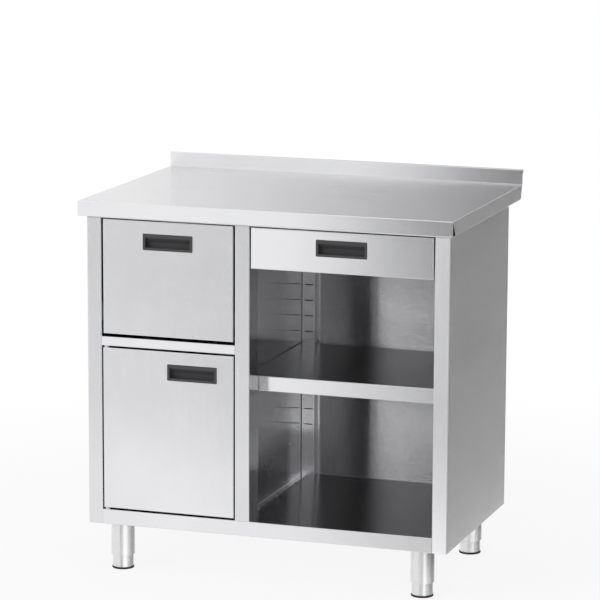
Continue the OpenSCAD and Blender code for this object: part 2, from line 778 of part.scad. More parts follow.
// Magnetic catch under the rail and its plate on the door
module catch_magnet() color("dimgray")
    block([x_mid - catch_inset - catch_w, y_catch, z_rail_foot - catch_h],
        [x_mid - catch_inset, y_catch + catch_d, z_rail_foot]);

module catch_plate() color("gray")
    block([x_mid - catch_inset - catch_w + strike_inset, y_strike,
        z_door_top - strike_drop - strike_h],
        [x_mid - catch_inset - strike_inset, y_strike + strike_t, z_door_top - strike_drop]);

// Leg: plate, tube and the nut plate welded in it
module leg(x, y) color("lightgray") translate([x, y, 0]) difference() {
    union() {
        translate([0, 0, leg_step]) cylinder(d = leg_d, h = leg_h - leg_step);
        block([-plate_w / 2, -plate_w / 2, leg_h], [plate_w / 2, plate_w / 2, leg_h + plate_t]);
    }
    difference() {
        translate([0, 0, leg_step - over]) cylinder(r = leg_bore, h = leg_h - leg_step + over);
        translate([0, 0, nut_z]) cylinder(d = leg_d, h = nut_t);
    }
    translate([0, 0, nut_z - over]) cylinder(r = spindle_d / 2 + run_clear, h = nut_t + 2 * over);
    translate([0, 0, leg_h - over]) cylinder(r = spindle_hole, h = plate_t + 2 * over);
}

// Foot: a sleeve that slides in the leg, closed on top, with the spindle standing on it
module foot(x, y) color("whitesmoke") translate([x, y, 0]) {
    difference() {
        translate([0, 0, pad_t]) cylinder(d = foot_d, h = sleeve_top - pad_t);
        translate([0, 0, pad_t - over]) cylinder(d = foot_d - 2 * sleeve_wall,
            h = sleeve_top - sleeve_cap - pad_t + over);
    }
    translate([0, 0, sleeve_top - over])
        cylinder(d = spindle_d, h = spindle_top - sleeve_top + over);
}

// Pad: a plastic disc with a chamfered rim
module pad(x, y) color("black") translate([x, y, 0]) rotate_extrude() polygon([[0, 0],
    [pad_d / 2 - pad_chamfer, 0], [pad_d / 2, pad_chamfer], [pad_d / 2, pad_t - pad_chamfer],
    [pad_d / 2 - pad_chamfer, pad_t], [0, pad_t]]);

module leg_front_left() leg(-leg_x, leg_y[0]);
module leg_front_right() leg(leg_x, leg_y[0]);
module leg_rear_left() leg(-leg_x, leg_y[1]);
module leg_rear_right() leg(leg_x, leg_y[1]);
module foot_front_left() foot(-leg_x, leg_y[0]);
module foot_front_right() foot(leg_x, leg_y[0]);
module foot_rear_left() foot(-leg_x, leg_y[1]);
module foot_rear_right() foot(leg_x, leg_y[1]);
module pad_front_left() pad(-leg_x, leg_y[0]);
module pad_front_right() pad(leg_x, leg_y[0]);
module pad_rear_left() pad(-leg_x, leg_y[1]);
module pad_rear_right() pad(leg_x, leg_y[1]);

worktop();
worktop_stiffeners();
side_panel_left();
side_panel_right();
partition();
back_panel();
bottom_panel();
base_channels();
mid_rail();
top_rail_left();
top_rail_right();
upright_left();
upright_right();
shelf_clips();
runner_spacer_grounds();
runner_spacer_utensil_left();
runner_spacer_utensil_right();
door_bushes();
catch_magnet();
leg_front_left();
leg_front_right();
leg_rear_left();
leg_rear_right();
foot_front_left();
foot_front_right();
foot_rear_left();
foot_rear_right();
pad_front_left();
pad_front_right();
pad_rear_left();
pad_rear_right();
shelf();
grounds_front();
grounds_box();
grounds_handle();
knock_bar();
knock_sleeve();
grounds_runner_outer_left();
grounds_runner_middle_left();
grounds_runner_inner_left();
grounds_runner_outer_right();
grounds_runner_middle_right();
grounds_runner_inner_right();
utensil_front();
utensil_box();
utensil_handle();
utensil_runner_outer_left();
utensil_runner_middle_left();
utensil_runner_inner_left();
utensil_runner_outer_right();
utensil_runner_middle_right();
utensil_runner_inner_right();
door_skin();
door_liner();
door_handle();
door_pins();
catch_plate();
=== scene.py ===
"""Looks of a coffee machine cabinet in folded stainless sheet.

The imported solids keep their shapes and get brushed, plated and moulded finishes. The turned legs,
feet and pads are replaced by smooth surfaces of the same size, and the small fastenings that the
solids leave out are added: rivets, spot welds, bolts and the fillet in a fold.
"""

from __future__ import annotations

import logging
import math
from dataclasses import dataclass, field
from enum import Enum

import bmesh
import bpy
import numpy as np
from mathutils import Matrix, Vector


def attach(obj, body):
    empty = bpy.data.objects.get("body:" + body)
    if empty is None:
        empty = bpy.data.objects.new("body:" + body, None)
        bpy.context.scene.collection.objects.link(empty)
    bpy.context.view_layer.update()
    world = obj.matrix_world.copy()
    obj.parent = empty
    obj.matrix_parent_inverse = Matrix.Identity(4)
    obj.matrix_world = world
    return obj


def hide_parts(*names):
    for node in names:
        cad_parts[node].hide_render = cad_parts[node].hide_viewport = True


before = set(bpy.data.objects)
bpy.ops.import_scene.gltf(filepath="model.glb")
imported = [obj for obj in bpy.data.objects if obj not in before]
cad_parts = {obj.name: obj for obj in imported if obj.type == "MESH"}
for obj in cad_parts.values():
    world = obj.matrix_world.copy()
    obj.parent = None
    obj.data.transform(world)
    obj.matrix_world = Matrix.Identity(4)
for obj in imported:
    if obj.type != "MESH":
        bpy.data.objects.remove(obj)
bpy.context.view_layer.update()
# A millimetre and the rim of a region with a sharp edge, in metres.
MM = 0.001
SHARP = 0.0002
LOG = logging.getLogger("cabinet")

Colour = tuple[float, float, float, float]
Point = tuple[float, float, float]
Pair = tuple[float, float]


class Grain(Enum):
    """Direction in which a sheet or tube was brushed, as an axis of the object."""

    ALONG_X = 0
    ALONG_Y = 1
    ALONG_Z = 2

    def axis(self) -> Point:
        """The direction as a unit vector."""
        return tuple(float(axis == self.value) for axis in range(3))


class Value:
    """A socket with operators: an expression on values adds its Math nodes."""

    def __init__(self, graph: Graph, socket: bpy.types.NodeSocket) -> None:
        """Wrap one output socket of a graph."""
        self.graph = graph
        self.socket = socket

    def __add__(self, other: Value | float) -> Value:
        """Sum."""
        return self.graph.math("ADD", self, other)

    def __sub__(self, other: Value | float) -> Value:
        """Difference."""
        return self.graph.math("SUBTRACT", self, other)

    def __rsub__(self, other: float) -> Value:
        """Difference with a plain number first."""
        return self.graph.math("SUBTRACT", other, self)

    def __mul__(self, other: Value | float) -> Value:
        """Product."""
        return self.graph.math("MULTIPLY", self, other)

    __radd__ = __add__
    __rmul__ = __mul__

    def larger(self, other: Value | float) -> Value:
        """The larger of two values."""
        return self.graph.math("MAXIMUM", self, other)

    def clamped(self) -> Value:
        """The value held between 0 and 1."""
        return self.graph.node("ShaderNodeClamp", {}, {"Value": self})["Result"]

    def ramp(self, low: float, high: float) -> Value:
        """A smooth step.

        Args:
            low: The value at which the step starts from 0.
            high: The value at which it reaches 1.

        Returns:
            The stepped value.
        """
        settings = {"interpolation_type": "SMOOTHSTEP"}
        inputs = {"Value": self, "From Min": low, "From Max": high}
        return self.graph.node("ShaderNodeMapRange", settings, inputs)["Result"]

    def band(self, edges: tuple[float, ...]) -> Value:
        """1 between the two middle edges, and 0 outside the first and last."""
        return self.ramp(*edges[:2]) * (1 - self.ramp(*edges[2:]))


class Graph:
    """The node tree of one material or of the world."""

    def __init__(self, owner: bpy.types.Material | bpy.types.World) -> None:
        """Empty the owner's node tree and take it over.

        Args:
            owner: The material or the world.
        """
        owner.use_nodes = True
        self.tree = owner.node_tree
        self.tree.nodes.clear()

    def node(self, kind: str, settings: dict, inputs: dict) -> dict[str, Value]:
        """Add a node.

        Args:
            kind: The node's type name.
            settings: Its attributes, set before its inputs.
            inputs: A number, colour or Value for each input socket, by name or number.

        Returns:
            Its output sockets by name, each as a Value.
        """
        made = self.tree.nodes.new(kind)
        for name, setting in settings.items():
            setattr(made, name, setting)
        for key, given in inputs.items():
            if isinstance(given, Value):
                self.tree.links.new(given.socket, made.inputs[key])
            else:
                made.inputs[key].default_value = given
        return {socket.name: Value(self, socket) for socket in made.outputs if socket.enabled}

    def math(self, operation: str, *values: Value | float) -> Value:
        """Add a Math node and return its result."""
        inputs = dict(enumerate(values))
        return self.node("ShaderNodeMath", {"operation": operation}, inputs)["Value"]

    def point(self) -> Value:
        """The shaded point in object coordinates, in metres."""
        return self.node("ShaderNodeTexCoord", {}, {})["Object"]

    def split(self, vector: Value) -> list[Value]:
        """The three components of a vector."""
        parts = self.node("ShaderNodeSeparateXYZ", {}, {"Vector": vector})
        return [parts[axis] for axis in "XYZ"]

    def join(self, x: Value | float, y: Value | float, z: Value | float) -> Value:
        """A vector made of three numbers."""
        return self.node("ShaderNodeCombineXYZ", {}, {"X": x, "Y": y, "Z": z})["Vector"]

    def noise(self, vector: Value, scale: Point, detail: float) -> Value:
        """Noise round 0.5.

        Args:
            vector: Where the noise is read.
            scale: Its frequency along each axis, per metre.
            detail: Number of finer layers.

        Returns:
            The noise, from 0 to 1.
        """
        mapped = self.node("ShaderNodeMapping", {}, {"Vector": vector, "Scale": scale})["Vector"]
        inputs = {"Vector": mapped, "Scale": 1.0, "Detail": detail}
        return self.node("ShaderNodeTexNoise", {}, inputs)["Fac"]

    def mix(self, share: Value | float, first: Value | Colour, second: Value | Colour) -> Value:
        """A colour between two colours: the first at share 0 and the second at share 1."""
        inputs = {0: share, 6: first, 7: second}
        return self.node("ShaderNodeMix", {"data_type": "RGBA"}, inputs)["Result"]

    def blend(self, share: Value, first: Value, second: Value) -> Value:
        """A number between two numbers: the first at share 0 and the second at share 1."""
        return (second - first) * share + first

    def mix_vector(self, share: Value, first: Point, second: Point) -> Value:
        """A vector between two vectors: the first at share 0 and the second at share 1."""
        inputs = {0: share, 4: first, 5: second}
        return self.node("ShaderNodeMix", {"data_type": "VECTOR"}, inputs)["Result"]

    def vector(self, operation: str, *values: Value | Point) -> Value:
        """Add a Vector Math node and return its vector."""
        inputs = dict(enumerate(values))
        return self.node("ShaderNodeVectorMath", {"operation": operation}, inputs)["Vector"]

    def dot(self, first: Value, second: Value) -> Value:
        """The dot product of two vectors."""
        inputs = {0: first, 1: second}
        return self.node("ShaderNodeVectorMath", {"operation": "DOT_PRODUCT"}, inputs)["Value"]

    def scaled(self, vector: Value, factor: Value | float) -> Value:
        """A vector or colour times a number."""
        inputs = {"Vector": vector, "Scale": factor}
        return self.node("ShaderNodeVectorMath", {"operation": "SCALE"}, inputs)["Vector"]

    def facing(self) -> Value:
        """The surface's normal in object coordinates."""
        return self.node("ShaderNodeTexCoord", {}, {})["Normal"]

    def turned_out(self, normal: Value) -> Value:
        """A normal in object coordinates, turned to the world's."""
        settings = {"vector_type": "NORMAL", "convert_from": "OBJECT", "convert_to": "WORLD"}
        return self.node("ShaderNodeVectorTransform", settings, {"Vector": normal})["Vector"]

    def bump(self, height: Value, depth: float, normal: Value | None = None) -> Value:
        """Raise a surface.

        Args:
            height: The height, from 0 to 1.
            depth: The height that 1 stands for, in metres.
            normal: The normal to start from, if it isn't the surface's own.

        Returns:
            The new normal.
        """
        inputs = {"Height": height, "Distance": depth}
        if normal is not None:
            inputs["Normal"] = normal
        return self.node("ShaderNodeBump", {}, inputs)["Normal"]

    def rays(self) -> tuple[Value, Value]:
        """1 for rays from the camera, and 1 for rays off metal or through glass."""
        path = self.node("ShaderNodeLightPath", {}, {})
        return path["Is Camera Ray"], path["Is Glossy Ray"].larger(path["Is Transmission Ray"])

    def principled(self, inputs: dict) -> None:
        """Finish a material with one Principled shader."""
        shader = self.node("ShaderNodeBsdfPrincipled", {}, inputs)["BSDF"]
        self.output("Material", shader)

    def output(self, kind: str, shader: Value) -> None:
        """Send a shader to the output of a Material or World."""
        self.node(f"ShaderNodeOutput{kind}", {}, {"Surface": shader})


def grey(level: float, warmth: float = 0.0) -> Colour:
    """A grey as a colour, a little yellower or, below 0, bluer."""
    return (level * (1 + warmth / 2), level * (1 + warmth / 2), level * (1 - warmth), 1.0)


@dataclass(frozen=True)
class Finish:
    """What all finishes share: a name and one material, made on its first use."""

    name: str

    def material(self) -> bpy.types.Material:
        """Find the finish's material, or paint it.

        Returns:
            The material.
        """
        found = bpy.data.materials.get(self.name)
        if found is None:
            found = bpy.data.materials.new(self.name)
            self.paint(Graph(found))
        return found

    def paint(self, graph: Graph) -> None:
        """Build the material's nodes in its graph."""
        raise NotImplementedError


Finishes = dict[Finish, tuple[str, ...]]


@dataclass(frozen=True)
class Patch:
    """A box in metres in which a sheet is darker by a share, as painted shade, or paler, as painted
    light, with a rim on each axis.
    """

    low: Point
    high: Point
    share: float
    rim: Point = (SHARP, SHARP, SHARP)

    def mask(self, graph: Graph, point: Value) -> Value:
        """How much a point is changed.

        Args:
            graph: The material's graph.
            point: The shaded point.

        Returns:
            0 outside the box, and the share where its sides are farther away than their rim.
        """
        above = graph.vector("SUBTRACT", point, self.low)
        below = graph.vector("SUBTRACT", self.high, point)
        inside = graph.vector("DIVIDE", graph.vector("MINIMUM", above, below), self.rim)
        x, y, z = graph.split(inside)
        least = graph.math("MINIMUM", graph.math("MINIMUM", x, y), z)
        return least.ramp(0.0, 1.0) * self.share


@dataclass(frozen=True)
class BrushedSteel(Finish):
    """Stainless sheet brushed one way: its grooves spread what it mirrors across the grain."""

    grain: Grain = Grain.ALONG_X
    fold: Grain = Grain.ALONG_Z
    tone: float = 0.78
    roughness: float = 0.07
    slope: float = 3.0
    run: float = 900.0
    # Painted shade: a factor on the tone of level faces, darker below 1.
    level_shade_factor: float = 1.0
    scratched: float = 0.0
    # Painted highlight on folds: the share of metal left there, with the rest pale and diffuse.
    fold_highlight_metallic: float = 0.35
    # Painted shade on faces that face sideways, by this share.
    flank_shade: float = 0.0
    # Painted shadow in a band under the worktop's edge, by this share.
    brow_shade: float = 0.0
    # Patches of painted shade, and patches of painted light where a sheet would mirror a pale
    # floor.
    dark: tuple[Patch, ...] = ()
    pale: tuple[Patch, ...] = ()
    warmth: float = -0.014
    fine_across: float = 26000.0
    fine_share: float = 0.96
    broad_scale: Pair = (6.0, 900.0)
    line_share: float = 0.3
    clouds: float = 0.05
    cloud_scale: float = 5.5
    cloud_rough: float = 0.05
    wipe_scale: Point = (3, 4, 9)
    wipe_rough: float = 0.03
    wave_scale: float = 3.2
    wave_height: float = 0.0004
    # Heights of the band of painted shadow under the worktop's edge.
    under_edge: Pair = (0.9495, 0.9575)
    turned: Pair = (0.6, 0.8)
    level: Pair = (0.8, 0.95)
    bent: Pair = (0.03, 0.07)
    wiped: Pair = (0.52, 0.74)
    # Grey of the painted shade.
    painted_shade_tone: float = 0.05
    # Grey of the painted light in pale patches.
    painted_light_tone: float = 0.97
    # Grey of the painted highlight on folds.
    fold_highlight_tone: float = 0.92

    def grooves(self, graph: Graph, point: Value, grain: Grain) -> tuple[Value, Value]:
        """Grooves in one direction.

        Args:
            graph: The material's graph.
            point: The shaded point.
            grain: The direction of the grooves.

        Returns:
            Fine and broad grooves, each as noise stretched along the grain.
        """
        run, across = self.broad_scale
        fine = tuple(self.run if axis == grain.value else self.fine_across for axis in range(3))
        broad = tuple(run if axis == grain.value else across for axis in range(3))
        return graph.noise(point, fine, 2.0), graph.noise(point, broad, 2.0)

    def brushed(self, graph: Graph, point: Value, normal: Value) -> tuple[Value, Value]:
        """Tilt the normal across the grain by the grooves' slope.

        The sheet's grain runs along one axis. On a face that lies square to that axis it runs on
        round the fold. The tilted normal is n + slope * (n x grain), brought to unit length.

        Args:
            graph: The material's graph.
            point: The shaded point.
            normal: The surface's normal.

        Returns:
            The tilted normal, in object coordinates, and the broad grooves.
        """
        along = graph.math("ABSOLUTE", graph.split(normal)[self.grain.value])
        folded = along.ramp(*self.turned)
        fine, broad = self.grooves(graph, point, self.grain)
        fine_fold, broad_fold = self.grooves(graph, point, self.fold)
        groove = graph.blend(folded, fine, fine_fold)
        line = graph.blend(folded, broad, broad_fold)
        grain = graph.mix_vector(folded, self.grain.axis(), self.fold.axis())
        slope = (groove - 0.5) * self.fine_share + (line - 0.5) * (1 - self.fine_share)
        across = graph.scaled(graph.vector("CROSS_PRODUCT", normal, grain), slope * self.slope)
        return graph.vector("NORMALIZE", graph.vector("ADD", normal, across)), line

    def shade(self, graph: Graph, point: Value) -> Value:
        """How much darker the sheet is where little light gets.

        Args:
            graph: The material's graph.
            point: The shaded point.

        Returns:
            0 in the open, more in a band under the worktop's edge, on sideways faces and in dark
            patches: all painted shade.
        """
        under = graph.split(point)[2].ramp(*self.under_edge) * self.brow_shade
        # Painted shade on sideways faces.
        if self.flank_shade:
            side = graph.math("ABSOLUTE", graph.split(graph.facing())[0])
            under = under.larger(side * self.flank_shade)
        for patch in self.dark:
            under = under.larger(patch.mask(graph, point))
        return under

    def bend(self, graph: Graph, normal: Value) -> Value:
        """1 on folds, where the normal lies between axes: 1 less its components to the fourth."""
        square = graph.vector("MULTIPLY", normal, normal)
        return (1 - graph.dot(square, square)).ramp(*self.bent)

    def paint(self, graph: Graph) -> None:
        """Brush and cloud the sheet, scratch its level faces, and paint shade on them, light and
        shade in patches and a highlight on its folds.

        Args:
            graph: The material's graph.
        """
        point, normal = graph.point(), graph.facing()
        tilted, line = self.brushed(graph, point, normal)
        cloud = graph.noise(point, (self.cloud_scale,) * 3, 3.0)
        wave = graph.noise(point, (self.wave_scale,) * 3, 1.0)
        wipe = graph.noise(point, self.wipe_scale, 4.0).ramp(*self.wiped)
        upward = graph.split(normal)[2].ramp(*self.level)
        share = (line - 0.5) * self.line_share + (cloud - 0.5) + 0.5
        dark, pale = (grey(self.tone + step, self.warmth) for step in (-self.clouds, self.clouds))
        tone = graph.mix(share.clamped(), dark, pale)
        # Painted shade on level faces.
        tone = graph.mix(upward, tone, graph.scaled(tone, self.level_shade_factor))
        # Painted light in pale patches, where a sheet would mirror a pale floor.
        for patch in self.pale:
            tone = graph.mix(patch.mask(graph, point), tone, grey(self.painted_light_tone, self.warmth))
        # Painted shade under the worktop's edge, on sideways faces and in dark patches; the
        # roughness rises there too.
        shade = self.shade(graph, point)
        tone = graph.mix(shade, tone, grey(self.painted_shade_tone))
        rough = (cloud - 0.5) * self.cloud_rough + wipe * self.wipe_rough
        rough = rough + upward * self.scratched + self.roughness
        # Painted highlight on folds: paler and partly diffuse.
        bend = self.bend(graph, normal)
        graph.principled({
            "Base Color": graph.mix(bend, tone, grey(self.fold_highlight_tone)),
            "Metallic": bend * (self.fold_highlight_metallic - 1) + 1.0,
            "Roughness": ((shade - 0.5).clamped() * 2 + rough).clamped(),
            "Normal": graph.bump(wave, self.wave_height, graph.turned_out(tilted)),
        })


@dataclass(frozen=True)
class TurnedSteel(Finish):
    """Polished tube with rings round it, faint handling marks and, if set, a painted reflection in
    its colour.
    """

    tone: float = 0.7
    roughness: float = 0.1
    slope: float = 3.0
    # Painted reflection: whether its strips go into the colour, where they lie round the tube and
    # how dark they are.
    reflection_strips: bool = False
    pale_strip: tuple[float, ...] = (0.33, 0.43, 0.62, 0.82)
    dark_strip: tuple[float, ...] = (0.8, 1.25, 2.0, 2.6)
    thin_strip: tuple[float, ...] = (0.1, 0.17, 0.22, 0.3)
    dark_share: float = 0.5
    thin_share: float = 0.15
    strip_tone: float = 0.02
    ring_scale: Point = (90, 90, 26000)
    band_scale: Point = (1, 1, 170)
    mark_scale: Point = (34, 34, 34)
    mark_rough: float = 0.1
    spread: Pair = (0.96, 1.05)

    def lit(self, graph: Graph, tone: Value) -> Value:
        """Paint into the colour the reflection that an upright tube shows: a pale strip, a dark one
        and a thin one.

        Args:
            graph: The material's graph.
            tone: The tube's colour.

        Returns:
            The colour, changed by the angle atan2(x, -y) of the normal from the front.
        """
        x, y, _ = graph.split(graph.facing())
        turn = graph.math("ARCTAN2", x, y * -1)
        dark = turn.band(self.dark_strip) * self.dark_share
        thin = turn.band(self.thin_strip) * self.thin_share
        tone = graph.mix(turn.band(self.pale_strip), tone, grey(1.0))
        return graph.mix(dark.larger(thin), tone, grey(self.strip_tone))

    def paint(self, graph: Graph) -> None:
        """Rings follow the height alone, and marks are slow noise in the roughness.

        The rings tilt the normal up and down: it is n + slope * Z, brought to unit length.

        Args:
            graph: The material's graph.
        """
        point = graph.point()
        height = graph.split(point)[2]
        rings = graph.noise(point, self.ring_scale, 2.0)
        tilt = graph.join(0.0, 0.0, (rings - 0.5) * self.slope)
        tilted = graph.vector("NORMALIZE", graph.vector("ADD", graph.facing(), tilt))
        bands = graph.noise(graph.join(0.0, 0.0, height), self.band_scale, 2.0)
        marks = graph.noise(point, self.mark_scale, 4.0)
        dark, pale = (grey(self.tone * level) for level in self.spread)
        tone = graph.mix((bands * 0.5 + marks * 0.5).ramp(0.3, 0.7), dark, pale)
        graph.principled({
            "Base Color": self.lit(graph, tone) if self.reflection_strips else tone,
            "Metallic": 1.0,
            "Roughness": ((marks - 0.5) * self.mark_rough + self.roughness).clamped(),
            "Normal": graph.turned_out(tilted),
        })


@dataclass(frozen=True)
class ZincPlate(Finish):
    """Zinc-plated steel: pale spangle, cloudy gloss and a faint blue cast."""

    tone: float = 0.5
    dark: Pair = (0.72, -0.03)
    pale: Pair = (1.22, -0.02)
    cell_scale: float = 260.0
    cell_share: float = 0.45
    cell_rough: float = 0.14
    cloud_scale: Point = (40, 40, 40)
    cloud_rough: float = 0.16
    roughness: float = 0.22
    relief: float = 0.00004

    def paint(self, graph: Graph) -> None:
        """Spangle from Voronoi cells, over slow clouds.

        Args:
            graph: The material's graph.
        """
        point = graph.point()
        inputs = {"Vector": point, "Scale": self.cell_scale}
        cells = graph.split(graph.node("ShaderNodeTexVoronoi", {}, inputs)["Color"])[0]
        cloud = graph.noise(point, self.cloud_scale, 4.0)
        share = cells * self.cell_share + cloud * (1 - self.cell_share)
        dark, pale = (grey(self.tone * level, warmth) for level, warmth in (self.dark, self.pale))
        graph.principled({
            "Base Color": graph.mix(share, dark, pale),
            "Metallic": 1.0,
            "Roughness": cells * self.cell_rough + cloud * self.cloud_rough + self.roughness,
            "Normal": graph.bump(cells * 0.4 + cloud * 0.6, self.relief),
        })


@dataclass(frozen=True)
class Moulded(Finish):
    """Plastic or rubber with a fine pebbled texture, scuffed a little paler."""

    tone: float = 0.05
    scuffed: float = 0.1
    roughness: float = 0.5
    warmth: float = -0.02
    gloss: float = 0.5
    # Painted shade at the back of a recess: where it starts and is full along Y, its share and its
    # grey.
    depth: Pair = (9.0, 10.0)
    recess_shade_share: float = 0.97
    recess_shade_tone: float = 0.005
    pebble_scale: Point = (1500, 1500, 1500)
    pebble_rough: float = 0.2
    scuff_scale: Point = (55, 55, 55)
    scuff_rough: float = 0.12
    cloud_scale: Point = (18, 18, 18)
    relief: float = 0.00005

    def paint(self, graph: Graph) -> None:
        """A fine pebble in the bump, scuffs from slow noise, and painted shade, a darker ground, at
        the back of a recess along Y.

        Args:
            graph: The material's graph.
        """
        point = graph.point()
        recess_shade = graph.split(point)[1].ramp(*self.depth) * self.recess_shade_share
        pebble = graph.noise(point, self.pebble_scale, 3.0)
        scuff = graph.noise(point, self.scuff_scale, 5.0).ramp(0.5, 0.8)
        cloud = graph.noise(point, self.cloud_scale, 3.0)
        share = scuff * 0.5 + cloud * 0.3
        rough = (pebble - 0.5) * self.pebble_rough + scuff * self.scuff_rough + self.roughness
        dark, pale = (grey(level, self.warmth) for level in (self.tone, self.scuffed))
        tone = graph.mix(share.clamped(), dark, pale)
        graph.principled({
            "Base Color": graph.mix(recess_shade, tone, grey(self.recess_shade_tone)),
            "Specular IOR Level": self.gloss,
            "Roughness": rough.clamped(),
            "Normal": graph.bump(pebble, self.relief),
        })


X, Y, Z = Grain.ALONG_X, Grain.ALONG_Y, Grain.ALONG_Z

# Patches of painted shade where little light reaches, and patches of painted light on the feet of
# sheets where they would mirror a pale floor.
SHADE_UNDER_WORKTOP = Patch((-0.5087, -0.3437, 0.9603), (0.5087, 0.3437, 0.9987), 0.9)
SHADE_UNDER_TOP = Patch((-0.4955, -0.3165, 0.9575), (0.4955, 0.26, 0.965), 0.9)
SHADE_IN_LEFT_UPRIGHT = Patch((-0.09, 0.2251, 0.1), (-0.0421, 0.26, 0.96), 0.8)
SHADE_IN_RIGHT_UPRIGHT = Patch((0.4551, 0.2251, 0.1), (0.5, 0.26, 0.96), 0.8)
SHADE_BEHIND_SLOTS = Patch((-0.0818, 0.22, 0.1), (-0.0418, 0.2514, 0.96), 0.9)
SHADE_RETURN_TOP = Patch((-0.06, -0.3165, 0.5), (0.0, -0.2435, 1.0), 0.3)
LIGHT_RETURN_FOOT = Patch((-0.06, -0.3165, 0.0), (0.0, -0.2435, 0.44), 1.0, (SHARP, SHARP, 0.09))
SHADE_WALL_FOOT = Patch((-0.1, -0.243, 0.0), (-0.08, 0.15, 0.365), 0.6, (SHARP, 0.05, 0.1))
SHADE_LEFT_OF_BACK = Patch((-0.06, 0.22, 0.1), (0.07, 0.2514, 1.0), 0.3, (0.03, SHARP, 0.03))
LIGHT_UPPER_FOOT = Patch((0.08, 0.22, 0.4), (0.7, 0.2514, 0.74), 1.0, (0.12, SHARP, 0.12))
LIGHT_LOWER_FOOT = Patch((0.08, 0.22, 0.0), (0.7, 0.2514, 0.44), 0.8, (0.12, SHARP, 0.12))

# Finishes of the sheets, tubes, fittings and mouldings. The same stainless differs in tone from
# finish to finish partly as painted light and shade: the back panel is darker and the slotted
# uprights are paler.
WORKTOP_STEEL = BrushedSteel("steel_worktop", X, Z, 0.82, dark=(SHADE_UNDER_WORKTOP,))
UPRIGHT_STEEL = BrushedSteel("steel_front_upright", Z, X, 0.8)
LEVEL_STEEL = BrushedSteel("steel_front_level", X, Z, 0.82)
PANEL_STEEL = BrushedSteel("steel_panel", Z, X, 0.76, brow_shade=0.45, dark=(SHADE_UNDER_TOP,))
# The right panel: a paler tone, with painted shade on its sideways faces so that its side is darker
# than its front posts.
SHADED_FLANK_STEEL = BrushedSteel("steel_shaded_flank", Z, X, 0.92, brow_shade=0.45, flank_shade=0.4, dark=(SHADE_UNDER_TOP,))
# The partition: painted shade under the top, on the post's return and at its foot, and painted
# light on the return's foot.
WALL_STEEL = BrushedSteel("steel_wall", Z, X, 0.72, slope=1.0, brow_shade=0.45,
                          dark=(SHADE_UNDER_TOP, SHADE_RETURN_TOP, SHADE_WALL_FOOT), pale=(LIGHT_RETURN_FOOT,))
RAIL_STEEL = BrushedSteel("steel_rail", X, Z, 0.8, brow_shade=0.3, dark=(SHADE_UNDER_TOP,))
# Painted shade: the level tops of the shelf and the bottom panel are much darker.
SHELF_STEEL = BrushedSteel("steel_shelf", X, Z, 0.8, level_shade_factor=0.26, scratched=0.15)
# The back panel: painted shade behind the slots and on its left, and painted light on its feet.
BACK_STEEL = BrushedSteel("steel_back", X, Z, 0.64, run=200,
                          dark=(SHADE_BEHIND_SLOTS, SHADE_LEFT_OF_BACK), pale=(LIGHT_UPPER_FOOT, LIGHT_LOWER_FOOT))
SLOTTED_STEEL = BrushedSteel("steel_slotted", Z, X, 0.95, 0.1,
                             dark=(SHADE_IN_LEFT_UPRIGHT, SHADE_IN_RIGHT_UPRIGHT))
INNER_STEEL = BrushedSteel("steel_inner", Y, X, 0.7)
FOLD_STEEL = BrushedSteel("steel_fold", Y, X, 0.6, fold_highlight_metallic=1.0)
# The tubes get painted reflection strips in their colour.
TUBE_STEEL = TurnedSteel("steel_tube", 0.74, reflection_strips=True)
RIVET_METAL = TurnedSteel("rivet_aluminium", 0.85, 0.3, 1.0)
ZINC = ZincPlate("zinc_plate")
# The handles get painted shade at the back of their recesses.
HANDLE_PLASTIC = Moulded("handle_plastic", 0.26, 0.3, 0.42, gloss=0.3, depth=(-0.3035, -0.3024))
PAD_PLASTIC = Moulded("pad_plastic", 0.018, 0.04, 0.5)
NYLON = Moulded("bush_nylon", 0.7, 0.6, 0.4, 0.03)
MAGNET_CASE = Moulded("magnet_case", 0.09, 0.15, 0.4)
RUBBER = Moulded("sleeve_rubber", 0.022, 0.055, 0.62)


